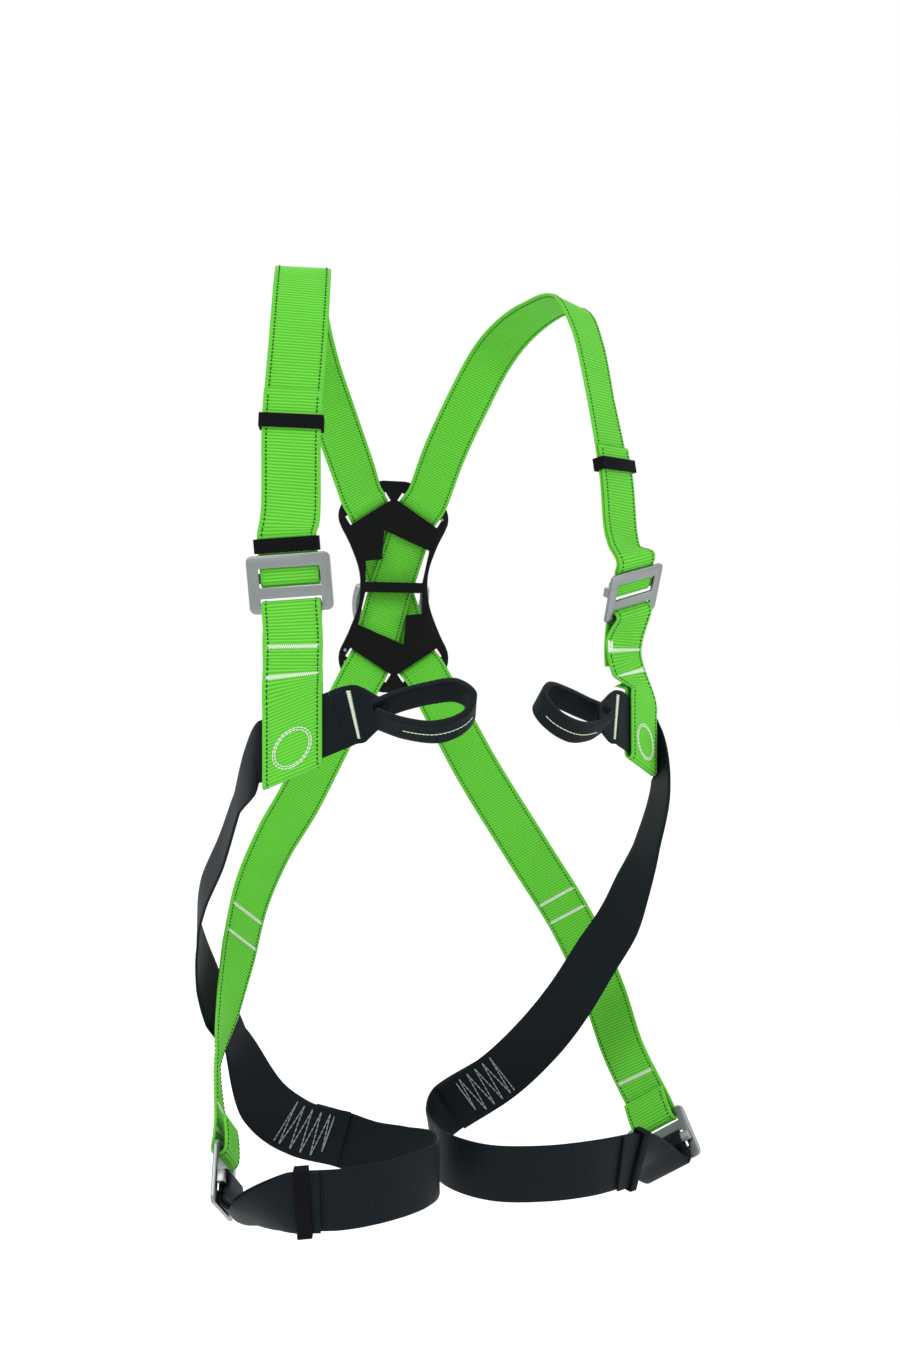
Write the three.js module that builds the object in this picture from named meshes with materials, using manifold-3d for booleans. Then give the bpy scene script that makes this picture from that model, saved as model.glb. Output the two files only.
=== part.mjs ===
// Full-body fall-arrest harness in its worn shape: millimetres, +Z up.
// The wearer faces -Y, so the wearer's right hand is at -X and the back is at +Y.
// The origin is on the body side of the dorsal plate, at the middle of its centre bar.
import * as THREE from "three";
import ManifoldModule from "manifold-3d";

const manifoldApi = await ManifoldModule();
manifoldApi.setup();
const { Manifold, Mesh: ManifoldMesh } = manifoldApi;

// ---------------------------------------------------------------- driving sizes
const WEB_WIDTH = 45;
const WEB_THICK = 2.2;
const LAYER_GAP = 0.4;
const LAYER_PITCH = WEB_THICK + LAYER_GAP;

const PLATE_THICK = 4;

const RING_WIRE = 10;
const RING_SPAN = 68;
const RING_DROP = 62;
const RING_AXIS_Y = PLATE_THICK + LAYER_GAP + RING_WIRE / 2;
const RING_LEAN_DEG = 36;

const FRAME_WIDTH = 64;
const FRAME_HEIGHT = 44.4;
const FRAME_THICK = 3;
const FRAME_CORNER = 5;
const WINDOW_WIDTH = 47;
const WINDOW = { low: -2.4, high: 12 };
const SLOT = { low: -15.4, high: -10.9 };
const FIXED_BAR_Z = -18.8;
const FIXED_LOOP_R = 5.2;

const SLIDER_LENGTH = 61;
const SLIDER_HEIGHT = 8;
const SLIDER_THICK = 3.4;
const SLIDER_Z = 4.6;
const SLIDER_Y = 6;

const LOOP_WIDTH = 21;
const LOOP_THICK = 5;
const KEEPER_HEIGHT = 11;
const KEEPER_WALL = 1.4;

// ---------------------------------------------------------------- materials
const finish = {
  green: { color: 0x35c12a, roughness: 0.62, metalness: 0 },
  black: { color: 0x10151c, roughness: 0.55, metalness: 0 },
  steel: { color: 0xb9bfc2, roughness: 0.34, metalness: 1 },
  plastic: { color: 0x0d0d0f, roughness: 0.42, metalness: 0 },
  elastic: { color: 0x15161a, roughness: 0.7, metalness: 0 },
};

const harness = new THREE.Group();

function addPiece(name, geometry, look) {
  const material = new THREE.MeshStandardMaterial(finish[look]);
  const piece = new THREE.Mesh(geometry, material);
  piece.name = name;
  harness.add(piece);
  return piece;
}

// ---------------------------------------------------------------- joins and cuts
function toManifold(geometry) {
  const flat = geometry.index ? geometry.toNonIndexed() : geometry;
  const mesh = new ManifoldMesh({
    numProp: 3,
    vertProperties: new Float32Array(flat.attributes.position.array),
    triVerts: Uint32Array.from({ length: flat.attributes.position.count }, (_, i) => i),
  });
  mesh.merge();
  return new Manifold(mesh);
}

function toGeometry(manifold) {
  const mesh = manifold.getMesh();
  const geometry = new THREE.BufferGeometry();
  const points = new Float32Array((mesh.vertProperties.length / mesh.numProp) * 3);
  for (let i = 0; i < points.length / 3; i += 1) {
    for (let k = 0; k < 3; k += 1) {
      points[3 * i + k] = mesh.vertProperties[mesh.numProp * i + k];
    }
  }
  geometry.setAttribute("position", new THREE.BufferAttribute(points, 3));
  geometry.setIndex(Array.from(mesh.triVerts));
  return geometry;
}

function join(geometries) {
  return toGeometry(Manifold.union(geometries.map(toManifold)));
}

function cut(geometry, tools) {
  return toGeometry(toManifold(geometry).subtract(Manifold.union(tools.map(toManifold))));
}

// ---------------------------------------------------------------- webbing
// A station is [x, y, z, nx, ny, nz]: a point on the strap's middle line and the way that
// the strap's outer face looks there. Three more numbers, where given, are the way across
// the strap: they let a cut or crumpled end run aslant.
function stationAcross(station, tangent, before) {
  const face = new THREE.Vector3(station[3], station[4], station[5]).normalize();
  const across = new THREE.Vector3().crossVectors(tangent, face).normalize();
  if (station.length > 6) {
    across.set(station[6], station[7], station[8]);
  }
  return before && across.dot(before) < 0 ? across.negate() : across;
}

function sampleRoute(stations, stepsPerSpan) {
  const points = stations.map((s) => new THREE.Vector3(s[0], s[1], s[2]));
  const curve = new THREE.CatmullRomCurve3(points, false, "centripetal");
  const spans = points.length - 1;
  const ways = [];
  stations.forEach((station, i) => {
    ways.push(stationAcross(station, curve.getTangent(i / spans).normalize(), ways[i - 1]));
  });
  const rows = [];
  for (let i = 0; i <= spans * stepsPerSpan; i += 1) {
    const t = i / (spans * stepsPerSpan);
    const k = Math.min(Math.floor(i / stepsPerSpan), spans - 1);
    const f = i / stepsPerSpan - k;
    const reach = ways[k].length() * (1 - f) + ways[k + 1].length() * f;
    const across = ways[k].clone().lerp(ways[k + 1], f).setLength(reach);
    const tangent = curve.getTangent(t).normalize();
    const out = new THREE.Vector3().crossVectors(across, tangent).normalize();
    rows.push({ point: curve.getPoint(t), across, out });
  }
  const [, , , nx, ny, nz] = stations[0];
  if (rows[0].out.dot(new THREE.Vector3(nx, ny, nz)) < 0) {
    rows.forEach((row) => row.out.negate());
  }
  return rows;
}

// One closed band with a rectangular section; widthAt(t) and thickAt(t) may change along
// it. lift moves it outwards, and spans keeps only the stretch from one station to another,
// so that a second layer can follow the first exactly.
function band(stations, options = {}) {
  const stepsPerSpan = options.steps ?? 3;
  const widthAt = options.widthAt ?? (() => options.width ?? WEB_WIDTH);
  const thickAt = options.thickAt ?? (() => options.thick ?? WEB_THICK);
  const lift = options.lift ?? 0;
  const [from, to] = options.spans ?? [0, stations.length - 1];
  const all = sampleRoute(stations, stepsPerSpan);
  const rows = all.slice(Math.round(from * stepsPerSpan), Math.round(to * stepsPerSpan) + 1);
  rows.forEach((row) => row.point.addScaledVector(row.out, lift));
  const positions = [];
  rows.forEach((row, i) => {
    const t = i / (rows.length - 1);
    const halfWidth = widthAt(t) / 2;
    const halfThick = thickAt(t) / 2;
    const corners = [[-1, -1], [1, -1], [1, 1], [-1, 1]];
    corners.forEach(([a, b]) => {
      const corner = row.point.clone();
      corner.addScaledVector(row.across, a * halfWidth);
      corner.addScaledVector(row.out, b * halfThick);
      positions.push(corner.x, corner.y, corner.z);
    });
  });
  const index = [];
  const last = rows.length - 1;
  for (let i = 0; i < last; i += 1) {
    for (let k = 0; k < 4; k += 1) {
      const a = 4 * i + k;
      const b = 4 * i + ((k + 1) % 4);
      // both broad faces are split along the same diagonal, so layers stay parallel
      const split = k === 2 ? [a, b, b + 4, a, b + 4, a + 4] : [a, b, a + 4, b, b + 4, a + 4];
      index.push(...split);
    }
  }
  index.push(0, 3, 2, 0, 2, 1);
  const e = 4 * last;
  index.push(e, e + 1, e + 2, e, e + 2, e + 3);
  const geometry = new THREE.BufferGeometry();
  geometry.setAttribute("position", new THREE.BufferAttribute(new Float32Array(positions), 3));
  geometry.setIndex(index);
  if (signedVolume(geometry) < 0) {
    for (let i = 0; i < index.length; i += 3) {
      [index[i], index[i + 1]] = [index[i + 1], index[i]];
    }
    geometry.setIndex(index);
  }
  return geometry;
}

function signedVolume(geometry) {
  const p = geometry.attributes.position;
  const index = geometry.index.array;
  const v = [new THREE.Vector3(), new THREE.Vector3(), new THREE.Vector3()];
  let total = 0;
  for (let i = 0; i < index.length; i += 3) {
    v.forEach((corner, k) => corner.fromBufferAttribute(p, index[i + k]));
    total += v[0].dot(v[1].clone().cross(v[2])) / 6;
  }
  return total;
}

// ---------------------------------------------------------------- adjusters
// A seat is where an adjuster sits: its middle, the way along its bars (across), the way
// from its fixed bar to its sliding bar (up), and the way its front looks (front).
function makeSeat(middle, front, up) {
  const f = new THREE.Vector3(...front).normalize();
  const u = new THREE.Vector3(...up);
  u.addScaledVector(f, -u.dot(f)).normalize();
  const across = new THREE.Vector3().crossVectors(u, f).normalize();
  const back = f.clone().negate();
  const matrix = new THREE.Matrix4().makeBasis(across, back, u);
  matrix.setPosition(...middle);
  return matrix;
}

// Turns a list of [y, z, ny, nz] in the seat's middle plane into stations in the world,
// with the webbing's width along the adjuster's bars.
function seatStations(seat, list) {
  const across = new THREE.Vector3(1, 0, 0).transformDirection(seat);
  return list.map(([y, z, ny, nz]) => {
    const p = new THREE.Vector3(0, y, z).applyMatrix4(seat);
    const n = new THREE.Vector3(0, ny, nz).transformDirection(seat);
    return [...p.toArray(), ...n.toArray(), ...across.toArray()];
  });
}

function arcStations(y, z, radius, fromDeg, toDeg, steps) {
  const list = [];
  for (let i = 0; i <= steps; i += 1) {
    const angle = THREE.MathUtils.degToRad(fromDeg + ((toDeg - fromDeg) * i) / steps);
    list.push([
      y + radius * Math.cos(angle), z + radius * Math.sin(angle), Math.cos(angle), Math.sin(angle),
    ]);
  }
  return list;
}

function roundedRect(width, height, radius) {
  const shape = new THREE.Shape();
  const x = width / 2;
  const y = height / 2;
  shape.moveTo(-x + radius, -y);
  shape.lineTo(x - radius, -y);
  shape.absarc(x - radius, -y + radius, radius, -Math.PI / 2, 0, false);
  shape.lineTo(x, y - radius);
  shape.absarc(x - radius, y - radius, radius, 0, Math.PI / 2, false);
  shape.lineTo(-x + radius, y);
  shape.absarc(-x + radius, y - radius, radius, Math.PI / 2, Math.PI, false);
  shape.lineTo(-x, -y + radius);
  shape.absarc(-x + radius, -y + radius, radius, Math.PI, 1.5 * Math.PI, false);
  return shape;
}

function rectHole(width, low, high) {
  const hole = new THREE.Path();
  hole.moveTo(-width / 2, low);
  hole.lineTo(-width / 2, high);
  hole.lineTo(width / 2, high);
  hole.lineTo(width / 2, low);
  hole.closePath();
  return hole;
}

// Extrudes a shape drawn in (across, up) into a plate that is centred on y = 0.
function uprightPlate(shape, thick, curveSegments = 6) {
  const settings = { depth: thick, bevelEnabled: false, curveSegments };
  const geometry = new THREE.ExtrudeGeometry(shape, settings);
  geometry.translate(0, 0, -thick / 2);
  geometry.rotateX(Math.PI / 2);
  return geometry;
}

function adjusterFrame() {
  const shape = roundedRect(FRAME_WIDTH, FRAME_HEIGHT, FRAME_CORNER);
  shape.holes.push(rectHole(WINDOW_WIDTH, WINDOW.low, WINDOW.high));
  shape.holes.push(rectHole(WINDOW_WIDTH, SLOT.low, SLOT.high));
  return uprightPlate(shape, FRAME_THICK);
}

function adjusterSlider() {
  const bar = new THREE.BoxGeometry(SLIDER_LENGTH, SLIDER_THICK, SLIDER_HEIGHT);
  const padLength = (SLIDER_LENGTH - WEB_WIDTH - 1.6) / 2;
  const padFront = FRAME_THICK / 2 + LAYER_GAP;
  const barFront = SLIDER_Y - SLIDER_THICK / 2;
  const pads = [-1, 1].map((side) => {
    const pad = new THREE.BoxGeometry(padLength, barFront - padFront + 1, SLIDER_HEIGHT);
    const y = (barFront + padFront + 1) / 2 - SLIDER_Y;
    pad.translate((side * (SLIDER_LENGTH - padLength)) / 2, y, 0);
    return pad;
  });
  const body = join([bar, ...pads]);
  body.translate(0, SLIDER_Y, SLIDER_Z);
  return body;
}

const WRAP_FRONT_Y = SLIDER_Y - SLIDER_THICK / 2 - LAYER_GAP - WEB_THICK / 2;
const WRAP_BACK_Y = SLIDER_Y + SLIDER_THICK / 2 + LAYER_GAP + WEB_THICK / 2;
const WRAP_R = (WRAP_BACK_Y - WRAP_FRONT_Y) / 2;
const WRAP_TOP = { chest: 20, leg: 14 };
const WRAP_END_GAP = 0.9;
const WRAP_BEND_Z = SLIDER_Z - SLIDER_HEIGHT / 2 + 1.2;

// The webbing that turns round the sliding bar: down behind it, under it and up in front.
function sliderWrap(seat, top) {
  const back = [
    [WRAP_FRONT_Y + LAYER_PITCH + 0.2, top, -1, 0],
    [WRAP_FRONT_Y + LAYER_PITCH + 0.2, top - 1, -1, 0],
    [WRAP_BACK_Y, 9, -1, 0],
  ];
  const turn = arcStations(SLIDER_Y, WRAP_BEND_Z, WRAP_R, 0, -180, 6).map(([y, z, ny, nz]) => [
    y, z, -ny, -nz,
  ]);
  const front = [
    [WRAP_FRONT_Y, 6, 1, 0],
    [WRAP_FRONT_Y, top, 1, 0],
  ];
  return band(seatStations(seat, [...back, ...turn, ...front]), { steps: 2 });
}

// Where the webbing leaves the adjuster, past the end of the wrap: two stations in line,
// step apart.
const TAIL_LIFT = LAYER_PITCH + 0.2;

function wrapExit(seat, place, step) {
  const y = WRAP_FRONT_Y + TAIL_LIFT;
  const z = WRAP_TOP[place] + WRAP_END_GAP;
  return seatStations(seat, [[y, z, -1, 0], [y, z + step, -1, 0]]);
}

function addAdjuster(side, place, seat, look) {
  const frame = addPiece(`${side}_${place}_frame`, adjusterFrame(), "steel");
  frame.applyMatrix4(seat);
  const slider = addPiece(`${side}_${place}_sliding_bar`, adjusterSlider(), "steel");
  slider.applyMatrix4(seat);
  addPiece(`${side}_${place}_bar_wrap`, sliderWrap(seat, WRAP_TOP[place]), look);
}

// A loop round the fixed bar, given as the stations that run over the bar from back to front.
function fixedBarLoop(seat) {
  const arc = arcStations(0, FIXED_BAR_Z, FIXED_LOOP_R, 0, 180, 8);
  return seatStations(seat, arc);
}

// ---------------------------------------------------------------- keepers
// A keeper is a short elastic sleeve round one or two layers of webbing.
function keeper(seat, layers) {
  const inner = new THREE.BoxGeometry(
    WEB_WIDTH + 4 * LAYER_GAP, layers * LAYER_PITCH + 3, KEEPER_HEIGHT + 2,
  );
  const outer = new THREE.BoxGeometry(
    WEB_WIDTH + 4 * LAYER_GAP + 2 * KEEPER_WALL,
    layers * LAYER_PITCH + 3 + 2 * KEEPER_WALL,
    KEEPER_HEIGHT,
  );
  const sleeve = cut(outer, [inner]);
  sleeve.applyMatrix4(seat);
  return sleeve;
}

// ---------------------------------------------------------------- dorsal plate and ring
const SLOT_PLACE = { x: 27, z: 80 };
const SLOT_TILT = THREE.MathUtils.degToRad(33);
const SLOT_LENGTH = 50;
const SLOT_OPENING = 10;
const PLATE_SIDE = [
  [12, 109], [38, 101], [54, 84], [57, 67], [46, 44], [37, 20],
  [35, 0], [38, -22], [48, -48], [57, -68], [54, -86], [38, -101], [12, -108],
];
const WINDOW_OUTLINE = [
  [-10.4, 59], [37.5, 38.6], [30, 5.1], [-29.7, 5.1], [-29.7, 26.7], [-12.7, 28.4],
];

function dorsalPlate() {
  const rightSide = PLATE_SIDE.map(([x, z]) => new THREE.Vector2(x, z));
  const leftSide = PLATE_SIDE.map(([x, z]) => new THREE.Vector2(-x, z)).reverse();
  const outline = new THREE.Shape();
  outline.moveTo(rightSide[0].x, rightSide[0].y);
  outline.splineThru(rightSide.slice(1));
  outline.lineTo(leftSide[0].x, leftSide[0].y);
  outline.splineThru(leftSide.slice(1));
  outline.closePath();
  const openings = [];
  [1, -1].forEach((turn) => {
    const points = WINDOW_OUTLINE.map(([x, z]) => new THREE.Vector2(turn * x, turn * z));
    openings.push(uprightPlate(new THREE.Shape(points), 3 * PLATE_THICK));
  });
  [[-1, 1], [1, 1], [-1, -1], [1, -1]].forEach(([sideX, sideZ]) => {
    const slot = new THREE.BoxGeometry(SLOT_LENGTH, 3 * PLATE_THICK, SLOT_OPENING);
    slot.rotateY(sideX * sideZ * SLOT_TILT);
    slot.translate(sideX * SLOT_PLACE.x, 0, sideZ * SLOT_PLACE.z);
    openings.push(slot);
  });
  const plate = cut(uprightPlate(outline, PLATE_THICK, 3), openings);
  plate.translate(0, PLATE_THICK / 2, 0);
  return plate;
}

// The ring is drawn hanging straight down from its bar and then leans back to rest.
function dorsalRing() {
  const half = RING_SPAN / 2;
  const bar = new THREE.CylinderGeometry(RING_WIRE / 2, RING_WIRE / 2, RING_SPAN, 12);
  bar.rotateZ(Math.PI / 2);
  const bow = new THREE.CatmullRomCurve3([
    new THREE.Vector3(-half, 0, 1.5),
    new THREE.Vector3(-half - 1.5, 0, -18),
    new THREE.Vector3(-half * 0.82, 0, -RING_DROP * 0.72),
    new THREE.Vector3(0, 0, -RING_DROP),
    new THREE.Vector3(half * 0.82, 0, -RING_DROP * 0.72),
    new THREE.Vector3(half + 1.5, 0, -18),
    new THREE.Vector3(half, 0, 1.5),
  ]);
  const section = new THREE.Shape();
  section.absarc(0, 0, RING_WIRE / 2, 0, 2 * Math.PI, false);
  const settings = { steps: 24, curveSegments: 10, extrudePath: bow, bevelEnabled: false };
  const ring = join([bar, new THREE.ExtrudeGeometry(section, settings)]);
  ring.rotateX(THREE.MathUtils.degToRad(RING_LEAN_DEG));
  ring.translate(0, RING_AXIS_Y, 0);
  return ring;
}

addPiece("dorsal_plate", dorsalPlate(), "plastic");
addPiece("dorsal_ring", dorsalRing(), "steel");

// ---------------------------------------------------------------- seats of the adjusters
const seats = {
  right_chest: makeSeat([-134.6, -252, -20], [-0.24, -0.96, -0.1], [-0.1, -0.1, 1]),
  left_chest: makeSeat([160, -229, -20], [0.45, -0.8, -0.42], [-0.08, -0.45, 1]),
  right_leg: makeSeat([-183, -236, -476], [-0.966, 0.259, -0.1], [-0.166, -0.621, -0.766]),
  left_leg: makeSeat([207, -190, -512], [0.8, 0.5, -0.33], [0.405, -0.42, -0.8]),
};
Object.entries(seats).forEach(([key, seat]) => {
  const [side, place] = key.split("_");
  addAdjuster(side, place, seat, place === "chest" ? "green" : "black");
});

// ---------------------------------------------------------------- shoulder straps
const rightShoulderRoute = [
  ...wrapExit(seats.right_chest, "chest", 14.7),
  [-134, -250, 30, -0.24, -0.97, 0.02],
  [-132.5, -246, 103, -0.2, -0.97, 0.08],
  [-126, -234, 175, -0.15, -0.95, 0.2],
  [-121, -217, 222, -0.1, -0.9, 0.4],
  [-118, -200, 240, -0.05, -0.4, 0.9],
  [-115, -165, 247, 0, 0.1, 1],
  [-107, -112, 232, 0, 0.6, 0.8],
  [-88, -62, 200, -0.05, 0.85, 0.5],
  [-64, -27, 158, -0.05, 0.92, 0.35],
  [-44, -8, 116, -0.02, 0.97, 0.2],
];
const leftShoulderRoute = [
  ...wrapExit(seats.left_chest, "chest", 8.7),
  [152, -224, 22, 0.5, -0.86, -0.05],
  [147, -219, 83, 0.52, -0.85, 0.05],
  [136, -214, 150, 0.56, -0.8, 0.15],
  [127, -206, 205, 0.5, -0.8, 0.3],
  [119, -190, 236, 0.3, -0.4, 0.87],
  [110, -142, 247, 0.1, 0, 1],
  [98, -90, 242, 0.1, 0.4, 0.9],
  [88, -50, 226, 0.05, 0.8, 0.55],
  [72, -27, 190, 0.05, 0.95, 0.25],
  [50, -12, 138, 0.02, 0.97, 0.2],
];

// The straps go through the plate's slots, cross behind it over the ring's bar and come
// back through the lower slots. A slot's stations run from the front of the plate, outside
// the slot, to the back of the plate, inside it.
function slotPass(sideX, sideZ) {
  const sin = Math.sin(SLOT_TILT);
  const cos = Math.cos(SLOT_TILT);
  return [[12, -2], [5, -1.7], [0, 2], [-5, 5.7]].map(([reach, y]) => [
    sideX * (SLOT_PLACE.x + reach * sin), y, sideZ * (SLOT_PLACE.z + reach * cos),
    0, 1, 0, cos, 0, sideX * sideZ * -sin,
  ]);
}

// Just behind the plate, where the modelled strap is parted in two; reach is its distance
// from the slot's middle.
function behindSlot(sideX, sideZ, reach) {
  const sin = Math.sin(SLOT_TILT);
  const cos = Math.cos(SLOT_TILT);
  return [
    sideX * (SLOT_PLACE.x - reach * sin), 6.1, sideZ * (SLOT_PLACE.z - reach * cos),
    0, 1, 0, cos, 0, sideX * sideZ * -sin,
  ];
}

// lift is how far this strap's crossing lies behind the other one's.
function crossing(sideX, lift) {
  const overBar = RING_AXIS_Y + RING_WIRE / 2 + LAYER_GAP + WEB_THICK / 2;
  return [
    ...slotPass(sideX, 1),
    [sideX * 21, 7 + lift, 66, 0, 1, 0.2],
    [sideX * 15, 9 + lift, 48, 0, 1, 0.2],
    [sideX * 8, overBar - 3 + lift, 25, 0, 1, 0.2],
    [0, overBar + lift, 0, 0, 1, 0],
    [sideX * -8, overBar - 3 + lift, -25, 0, 1, -0.2],
    [sideX * -15, 9 + lift, -48, 0, 1, -0.2],
    [sideX * -21, 7 + lift, -66, 0, 1, -0.2],
    behindSlot(-sideX, -1, 8),
  ];
}

const rightShoulder = [...rightShoulderRoute, ...crossing(-1, LAYER_PITCH + 0.8)];
const leftShoulder = [...leftShoulderRoute, ...crossing(1, 0)];
addPiece("right_shoulder_strap", band(rightShoulder), "green");
addPiece("left_shoulder_strap", band(leftShoulder), "green");

// The straps' free tails lie on top of them, up from the chest adjusters.
const chestTail = { lift: TAIL_LIFT, spans: [0, 3.34] };
addPiece("right_strap_tail", band(rightShoulder, chestTail), "green");
addPiece("left_strap_tail", band(leftShoulder, chestTail), "green");

// ---------------------------------------------------------------- lower chest straps
// Each one hangs in a loop round the fixed bar, closes on itself in two layers and folds
// round the lower edge of the black webbing; the fold follows that webbing's slope.
const FOLD_SLOPE = 0.42;

function lowerChest(seat, fold, depth, lean) {
  const [x, y, z] = fold.middle;
  const n = new THREE.Vector3(...fold.face).normalize();
  const side = new THREE.Vector3(-n.y, n.x, 0);
  const at = (out, drop, faceOut, faceDown, skew) => [
    x + n.x * out, y + n.y * out, z - drop,
    n.x * faceOut, n.y * faceOut, faceDown,
    side.x, side.y, skew * lean * FOLD_SLOPE,
  ];
  const half = LAYER_PITCH + 0.4;
  const upperBack = fold.upperBack;
  return [
    upperBack[0],
    upperBack[1],
    ...fixedBarLoop(seat),
    ...fold.upperFront,
    at(half, -depth - 5, 1, 0, 1),
    at(half, -depth + 2, 1, 0, 1),
    at(half, 0, 1, 0, 1),
    at(half, depth * 0.6, 1, 0, 1),
    at(half, depth, 1, -0.2, 1),
    at(half * 0.7, depth + half * 0.8, 0.7, -0.7, 1),
    at(0, depth + half * 1.15, 0, -1, 1),
    at(-half * 0.7, depth + half * 0.8, -0.7, -0.7, 1),
    at(-half, depth, -1, -0.2, 1),
    at(-half, depth * 0.6, -1, 0, 1),
    at(-half, 0, -1, 0, 1),
    at(-half, -depth + 2, -1, 0, 1),
    at(-half, -depth - 5, -1, 0, 1),
    ...fold.backEnd,
  ];
}

const rightFold = {
  middle: [-133, -256.5, -138],
  face: [-0.24, -0.97, 0],
  upperBack: [[-132.6, -251, -84, 0.24, 0.96, 0], [-132.6, -247.5, -64, 0.24, 0.96, 0]],
  upperFront: [[-132.8, -257.2, -62, -0.24, -0.96, 0], [-133, -256.6, -84, -0.24, -0.96, 0]],
  backEnd: [[-132.6, -252, -94, 0.24, 0.96, 0]],
};
const leftFold = {
  middle: [170, -222.5, -140],
  face: [0.6, -0.8, 0],
  upperBack: [[156.5, -214, -84, -0.42, 0.9, 0], [157, -212, -66, -0.42, 0.9, 0]],
  upperFront: [[154.5, -222.5, -62, 0.4, -0.92, 0], [158, -221.5, -84, 0.5, -0.87, 0]],
  backEnd: [[161, -216.5, -94, -0.55, 0.84, 0]],
};
const FOLD_DEPTH = 25.5;
addPiece("right_lower_chest_strap",
  band(lowerChest(seats.right_chest, rightFold, FOLD_DEPTH, 1)), "green");
addPiece("left_lower_chest_strap",
  band(lowerChest(seats.left_chest, leftFold, FOLD_DEPTH, -1)), "green");

// ---------------------------------------------------------------- hip straps
// Each runs from the dorsal plate's lower slot, over the back of the hip, to a loop round
// the fixed bar of the leg adjuster.
function hipStart(sideX) {
  return [
    behindSlot(sideX, -1, 7.5),
    ...slotPass(sideX, -1).reverse(),
  ];
}

const rightHipRoute = [
  [-98, -12, -212, 0, 1, 0],
  [-127, -46, -250, -0.3, 0.95, 0],
  [-150, -81, -290, -0.48, 0.88, 0],
  [-164, -116, -332, -0.6, 0.8, 0],
  [-175, -150, -367, -0.82, 0.57, 0],
  [-185, -182, -402, -0.97, 0.1, 0],
];
const leftHipRoute = [
  [76, -40, -184, 0.2, 0.97, 0],
  [119, -70, -263, 0.3, 0.95, 0],
  [160, -90, -335, 0.45, 0.88, 0],
  [181, -115, -395, 0.6, 0.78, 0],
  [191, -140, -445, 0.7, 0.7, 0],
];

// Down the adjuster's outer side, over its fixed bar and back up in a sewn second layer.
function legLoop(seat) {
  const low = FIXED_BAR_Z;
  return seatStations(seat, [
    [-FIXED_LOOP_R + 1, low - 14, -1, 0],
    ...arcStations(0, low, FIXED_LOOP_R, 180, 0, 8),
    [FIXED_LOOP_R - 0.6, low - 12, 1, 0],
    [2.4, low - 24, 1, 0],
  ]);
}

addPiece("right_hip_strap",
  band([...hipStart(-1), ...rightHipRoute, ...legLoop(seats.right_leg)]), "green");
addPiece("left_hip_strap",
  band([...hipStart(1), ...leftHipRoute, ...legLoop(seats.left_leg)]), "green");

// ---------------------------------------------------------------- black straps
const rightPelvic = [
  [-99, -264.9, -123.6, -0.24, -0.97, 0],
  [-133, -256.5, -138, -0.24, -0.97, 0],
  [-156, -250.8, -147.7, -0.24, -0.97, 0, 0, 0, 1.05],
  [-158, -250.3, -148.5, -0.24, -0.97, 0, 0, 0, 1.05],
  [-165, -240, -167, -0.8, -0.6, 0, -0.1, 0.75, 0.65],
  [-172, -219, -190, -0.95, -0.25, 0, 0, 0.95, 0.25],
  [-183, -200, -230, -1, 0, 0],
  [-197, -178, -270, -1, 0, 0],
  [-200, -161, -303, -1, 0.05, 0],
  [-194, -152, -340, -0.93, 0.35, 0],
  [-183, -138, -374, -0.85, 0.5, 0],
  [-168, -133, -404, -0.9, 0.42, 0],
  [-146, -152, -452, -0.4, 0.9, -0.1],
  [-118, -163, -473, 0, 1, -0.1],
  [-80, -171, -484, 0, 1, -0.1],
];
const leftPelvic = [
  [144.4, -241.7, -128.1, 0.6, -0.8, 0],
  [170, -222.5, -140, 0.6, -0.8, 0],
  [190.4, -207.2, -149.3, 0.6, -0.8, 0, 0, 0, 1.06],
  [197, -205, -188, 1, -0.1, 0],
  [180, -212, -240, 1, 0.06, 0],
  [167, -212, -273, 0.97, 0.25, 0],
  [157, -205, -305, 0.9, 0.4, 0],
  [141, -193, -338, 0.85, 0.5, 0],
  [120, -178, -381, 0.78, 0.6, 0],
  [98, -164, -416, 0.66, 0.75, 0],
  [66, -149, -452, 0.4, 0.9, -0.1],
  [24, -132, -484, 0.2, 0.97, -0.1],
];
addPiece("right_pelvic_strap", band(rightPelvic), "black");
addPiece("left_pelvic_strap", band(leftPelvic), "black");

// The thigh bands start behind the pelvic straps' sewn ends and finish at the leg adjusters.
function bandEnd(seat) {
  const bend = seatStations(seat, [[12, 23, -0.3, 0.95], [7, 20, -0.8, 0.6]]);
  return [...bend, ...wrapExit(seat, "leg", 2).reverse()];
}

const rightBand = [
  [-108, -160.6, -477.6, 0, 1, -0.1],
  [-82, -166.3, -485.5, 0, 1, -0.1],
  [-56, -176, -493, 0.1, 1, -0.1],
  [-28, -196, -492, 0.8, 0.6, 0],
  [-15, -232, -483, 1, 0, 0],
  [-28, -272, -474, 0.6, -0.8, 0],
  [-62, -293, -471, 0.2, -0.98, 0],
  [-100, -296, -472, 0, -1, 0],
  [-127, -291.6, -472, -0.08, -1, -0.03],
  [-137, -288.9, -472.8, -0.15, -1, -0.05],
  [-154, -281, -478, -0.15, -0.9, -0.35],
  [-168, -266, -486, -0.15, -0.7, -0.7, -0.48, -0.55, 0.68],
  ...bandEnd(seats.right_leg),
];
const leftBand = [
  [62, -143.4, -458, 0.3, 0.95, -0.1],
  [24, -128.1, -484.5, 0.2, 0.97, -0.1],
  [6, -138, -496, -0.5, 0.85, 0],
  [-2, -178, -498, -1, 0, 0],
  [4, -215, -494, -0.9, -0.4, 0],
  [28, -247, -491, -0.5, -0.85, 0],
  [68, -262, -489.5, -0.1, -1, 0],
  [110, -262, -490, 0.1, -1, 0],
  [148, -247, -494.5, 0.33, -0.93, -0.08],
  [158, -240, -497, 0.4, -0.9, -0.14],
  [176, -224, -507, 0.2, -0.75, -0.6],
  ...bandEnd(seats.left_leg),
];
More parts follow.
